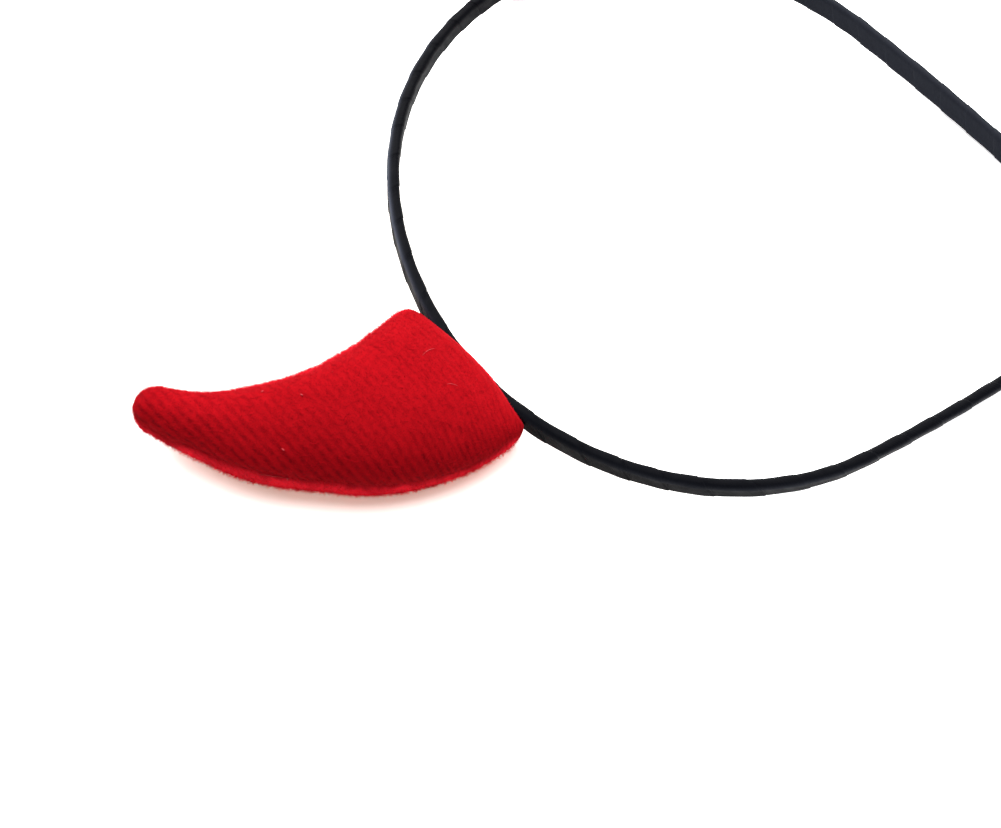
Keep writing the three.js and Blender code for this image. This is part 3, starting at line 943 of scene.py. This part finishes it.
def satin_ribbon():
    """Woven polyester satin ribbon, dyed black: fine lengthwise floats give a soft, broad and faint
    sheen, and a blue-grey sheen is painted into the colour along its upper outer edge and on the right
    leg."""
    made, tree = material("satin_ribbon_black")
    cloth, _, _ = map_axes(tree, "cloth")
    _, painted_sheen_share, _ = map_axes(tree, "edge")
    # Floats run along the ribbon. Real ones are 0.08 mm apart, too fine to show, so they are drawn
    # as coarse as 0.3 mm.
    floats = add(tree, "ShaderNodeMapping", {0: cloth, "Scale": (0.35, 3.3, 1.0)})
    weave = noise(tree, floats.outputs[0], 1.0, 3.0)
    # Slubs of about 3 mm change its height and its gloss.
    slub = noise(tree, cloth, 0.35)
    height = worked_out(tree, "MULTIPLY_ADD", slub, 0.8, weave)
    gloss = ramp(tree, slub, 0.3, 0.7, 0.5, 0.65)
    colour = blend(tree, weave, "#020204", "#05060B")
    # Painted sheen: blue-grey where the edge map puts painted reflection.
    colour = blend(tree, painted_sheen_share, colour, "#4A4E5A")
    return shaded(made, {
        "Base Color": colour, "Roughness": gloss, "IOR": 1.08, "Specular IOR Level": 0.8,
        "Normal": bumps(tree, height, 0.6, 0.00012)})


def cotton_lint():
    """Pale pink cotton lint, mottled over half a millimetre."""
    made, tree = material("cotton_lint_pale")
    tone = noise(tree, object_place(tree), 2000.0)
    colour = blend(tree, tone, "#A03038", "#BC4A4C")
    return shaded(made, {"Base Color": colour, "Roughness": 0.9, "Specular IOR Level": 0.1})


def light_table():
    """Matt white acrylic of a light table, lit from below. Round the left horn, within 40 to 80 mm of
    its middle, it glows less and warmer: a painted shadow of the horn, with painted red light bounced
    from the cloth."""
    made, tree = material("matt_white_acrylic")
    # Painted shadow and red bounce light: the glow is dimmer and warmer near the left horn.
    way = add(tree, "ShaderNodeVectorMath", {0: object_place(tree), 1: (-0.066, 0.055, 0.0)},
              operation="DISTANCE")
    away = ramp(tree, way.outputs["Value"], 0.04, 0.08, 0.0, 1.0, "SMOOTHSTEP")
    colour = blend(tree, away, "#FFE6D4", "#FFFFFF")
    glow = ramp(tree, away, 0.0, 1.0, 0.46, 0.8)
    return shaded(made, {
        "Base Color": linear("#F8F8F8"), "Roughness": 0.9, "Specular IOR Level": 0.2,
        "Emission Color": colour, "Emission Strength": glow})


# Building.

def dress(piece, finish, node=None):
    """Gives a piece its finish, and lets it ride on the body and stand for a node."""
    piece.data.materials.clear()
    piece.data.materials.append(finish)
    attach(piece, "root")
    if node:
        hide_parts(node)


ribbon = satin_ribbon()
wool = wool_twill()
nap = wool_nap()
lint = cotton_lint()

band = ribbon_band()
merge_doubles(band)
dress(band, ribbon, "band")

for side, label in ((-1, "left"), (1, "right")):
    cloth_points, cloth_maps, along = horn_cloth(side)
    surface = lie_on_table(to_row(cloth_points))
    poles = [surface[0].mean(0), surface[-1].mean(0)]
    horn = skin_object("wool_horn_" + label, surface, poles[0], poles[1], cloth_maps)
    cut(horn, band_slot(side))
    dress(horn, wool, "horn_" + label)

    normals = grid_normals(surface)
    roots, ups, row, column = scattered(surface, normals, NAP_FIBRES)
    lean = rng.normal(size=roots.shape) * NAP_LEAN
    lean -= (lean * ups).sum(1, keepdims=True) * ups
    past_base = smooth_step(along[row, column], *NAP_BASE_FADE)
    hair_edge = cloth_maps["edge"][row, column]
    length = (rng.uniform(*NAP_LENGTH, NAP_FIBRES) / 1000
              * (NAP_AT_BASE + (1 - NAP_AT_BASE) * past_base)
              * (NAP_PLAIN + NAP_EDGE_MORE * hair_edge[:, 0]))
    width = rng.uniform(*NAP_WIDTH, NAP_FIBRES) / 1000
    hairs, hair_faces = nap_fibres(roots, ups, lean, length, width)
    hair_maps = {"edge": np.repeat(hair_edge, NAP_POINTS, axis=0)}
    hair = make_mesh("wool_nap_" + label, lie_on_table(hairs), [hair_faces], hair_maps)
    dress(hair, nap)

    start = grid_place(rng.uniform(0, HORN_LENGTH - 1, STRAY_FIBRES), rng.random(STRAY_FIBRES))
    way = rng.uniform(0, 2 * math.pi, STRAY_FIBRES)
    reach = rng.uniform(*STRAY_LENGTH, STRAY_FIBRES)[:, None]
    points, faces = laid_fibres(surface, normals, start,
                                start + np.stack([np.cos(way), np.sin(way)], -1) * reach,
                                rng.normal(0, STRAY_BOW, STRAY_FIBRES),
                                rng.uniform(0, STRAY_LIFT, STRAY_FIBRES),
                                rng.uniform(*STRAY_RADIUS, STRAY_FIBRES) / 1000)
    dress(make_mesh("stray_wool_" + label, lie_on_table(points), faces), nap)
    if side < 0:
        start = grid_place(LINT[:, ALONG_START], LINT[:, SHARE_START])
        end = grid_place(LINT[:, ALONG_END], LINT[:, SHARE_END])
        radius = LINT[:, LINT_RADIUS] / 1000
        points, faces = laid_fibres(surface, normals, start, end, LINT[:, BOW], radius, radius)
        dress(make_mesh("pale_lint", points, faces), lint)


# The table, the light and the camera.

corners = np.array([(-1, -1, 0), (1, -1, 0), (1, 1, 0), (-1, 1, 0)]) * TABLE_REACH
table = make_mesh("table_top", corners, [[[0, 1, 2, 3]]])
table.data.materials.append(light_table())

scene = bpy.context.scene
scene.view_settings.view_transform = "Standard"
scene.world = bpy.data.worlds.new("white_room")
scene.world.use_nodes = True
room = scene.world.node_tree.nodes["Background"]
room.inputs[0].default_value = linear("#FFFFFF")
room.inputs[1].default_value = ROOM_LIGHT

key = bpy.data.lights.new("key_soft_box", "AREA")
key.size = KEY_SIZE
key.energy = KEY_POWER
key_box = bpy.data.objects.new("key_soft_box", key)
key_box.location = KEY_PLACE
key_box.rotation_euler = (-Vector(KEY_PLACE)).to_track_quat("-Z", "Y").to_euler()
scene.collection.objects.link(key_box)

camera_data = bpy.data.cameras.new("camera")
camera_data.sensor_fit = "HORIZONTAL"
camera_data.sensor_width = SENSOR_WIDTH
camera_data.lens = FOCAL_PIXELS / PHOTO_WIDTH * SENSOR_WIDTH
camera_data.clip_start = 0.01
camera = bpy.data.objects.new("camera", camera_data)
back = -CAMERA_FORWARD.normalized()
right = (CAMERA_RIGHT - CAMERA_RIGHT.dot(back) * back).normalized()
up = back.cross(right)
camera.matrix_world = Matrix.Translation(CAMERA_PLACE) @ Matrix((right, up, back)).transposed().to_4x4()
scene.collection.objects.link(camera)
scene.camera = camera
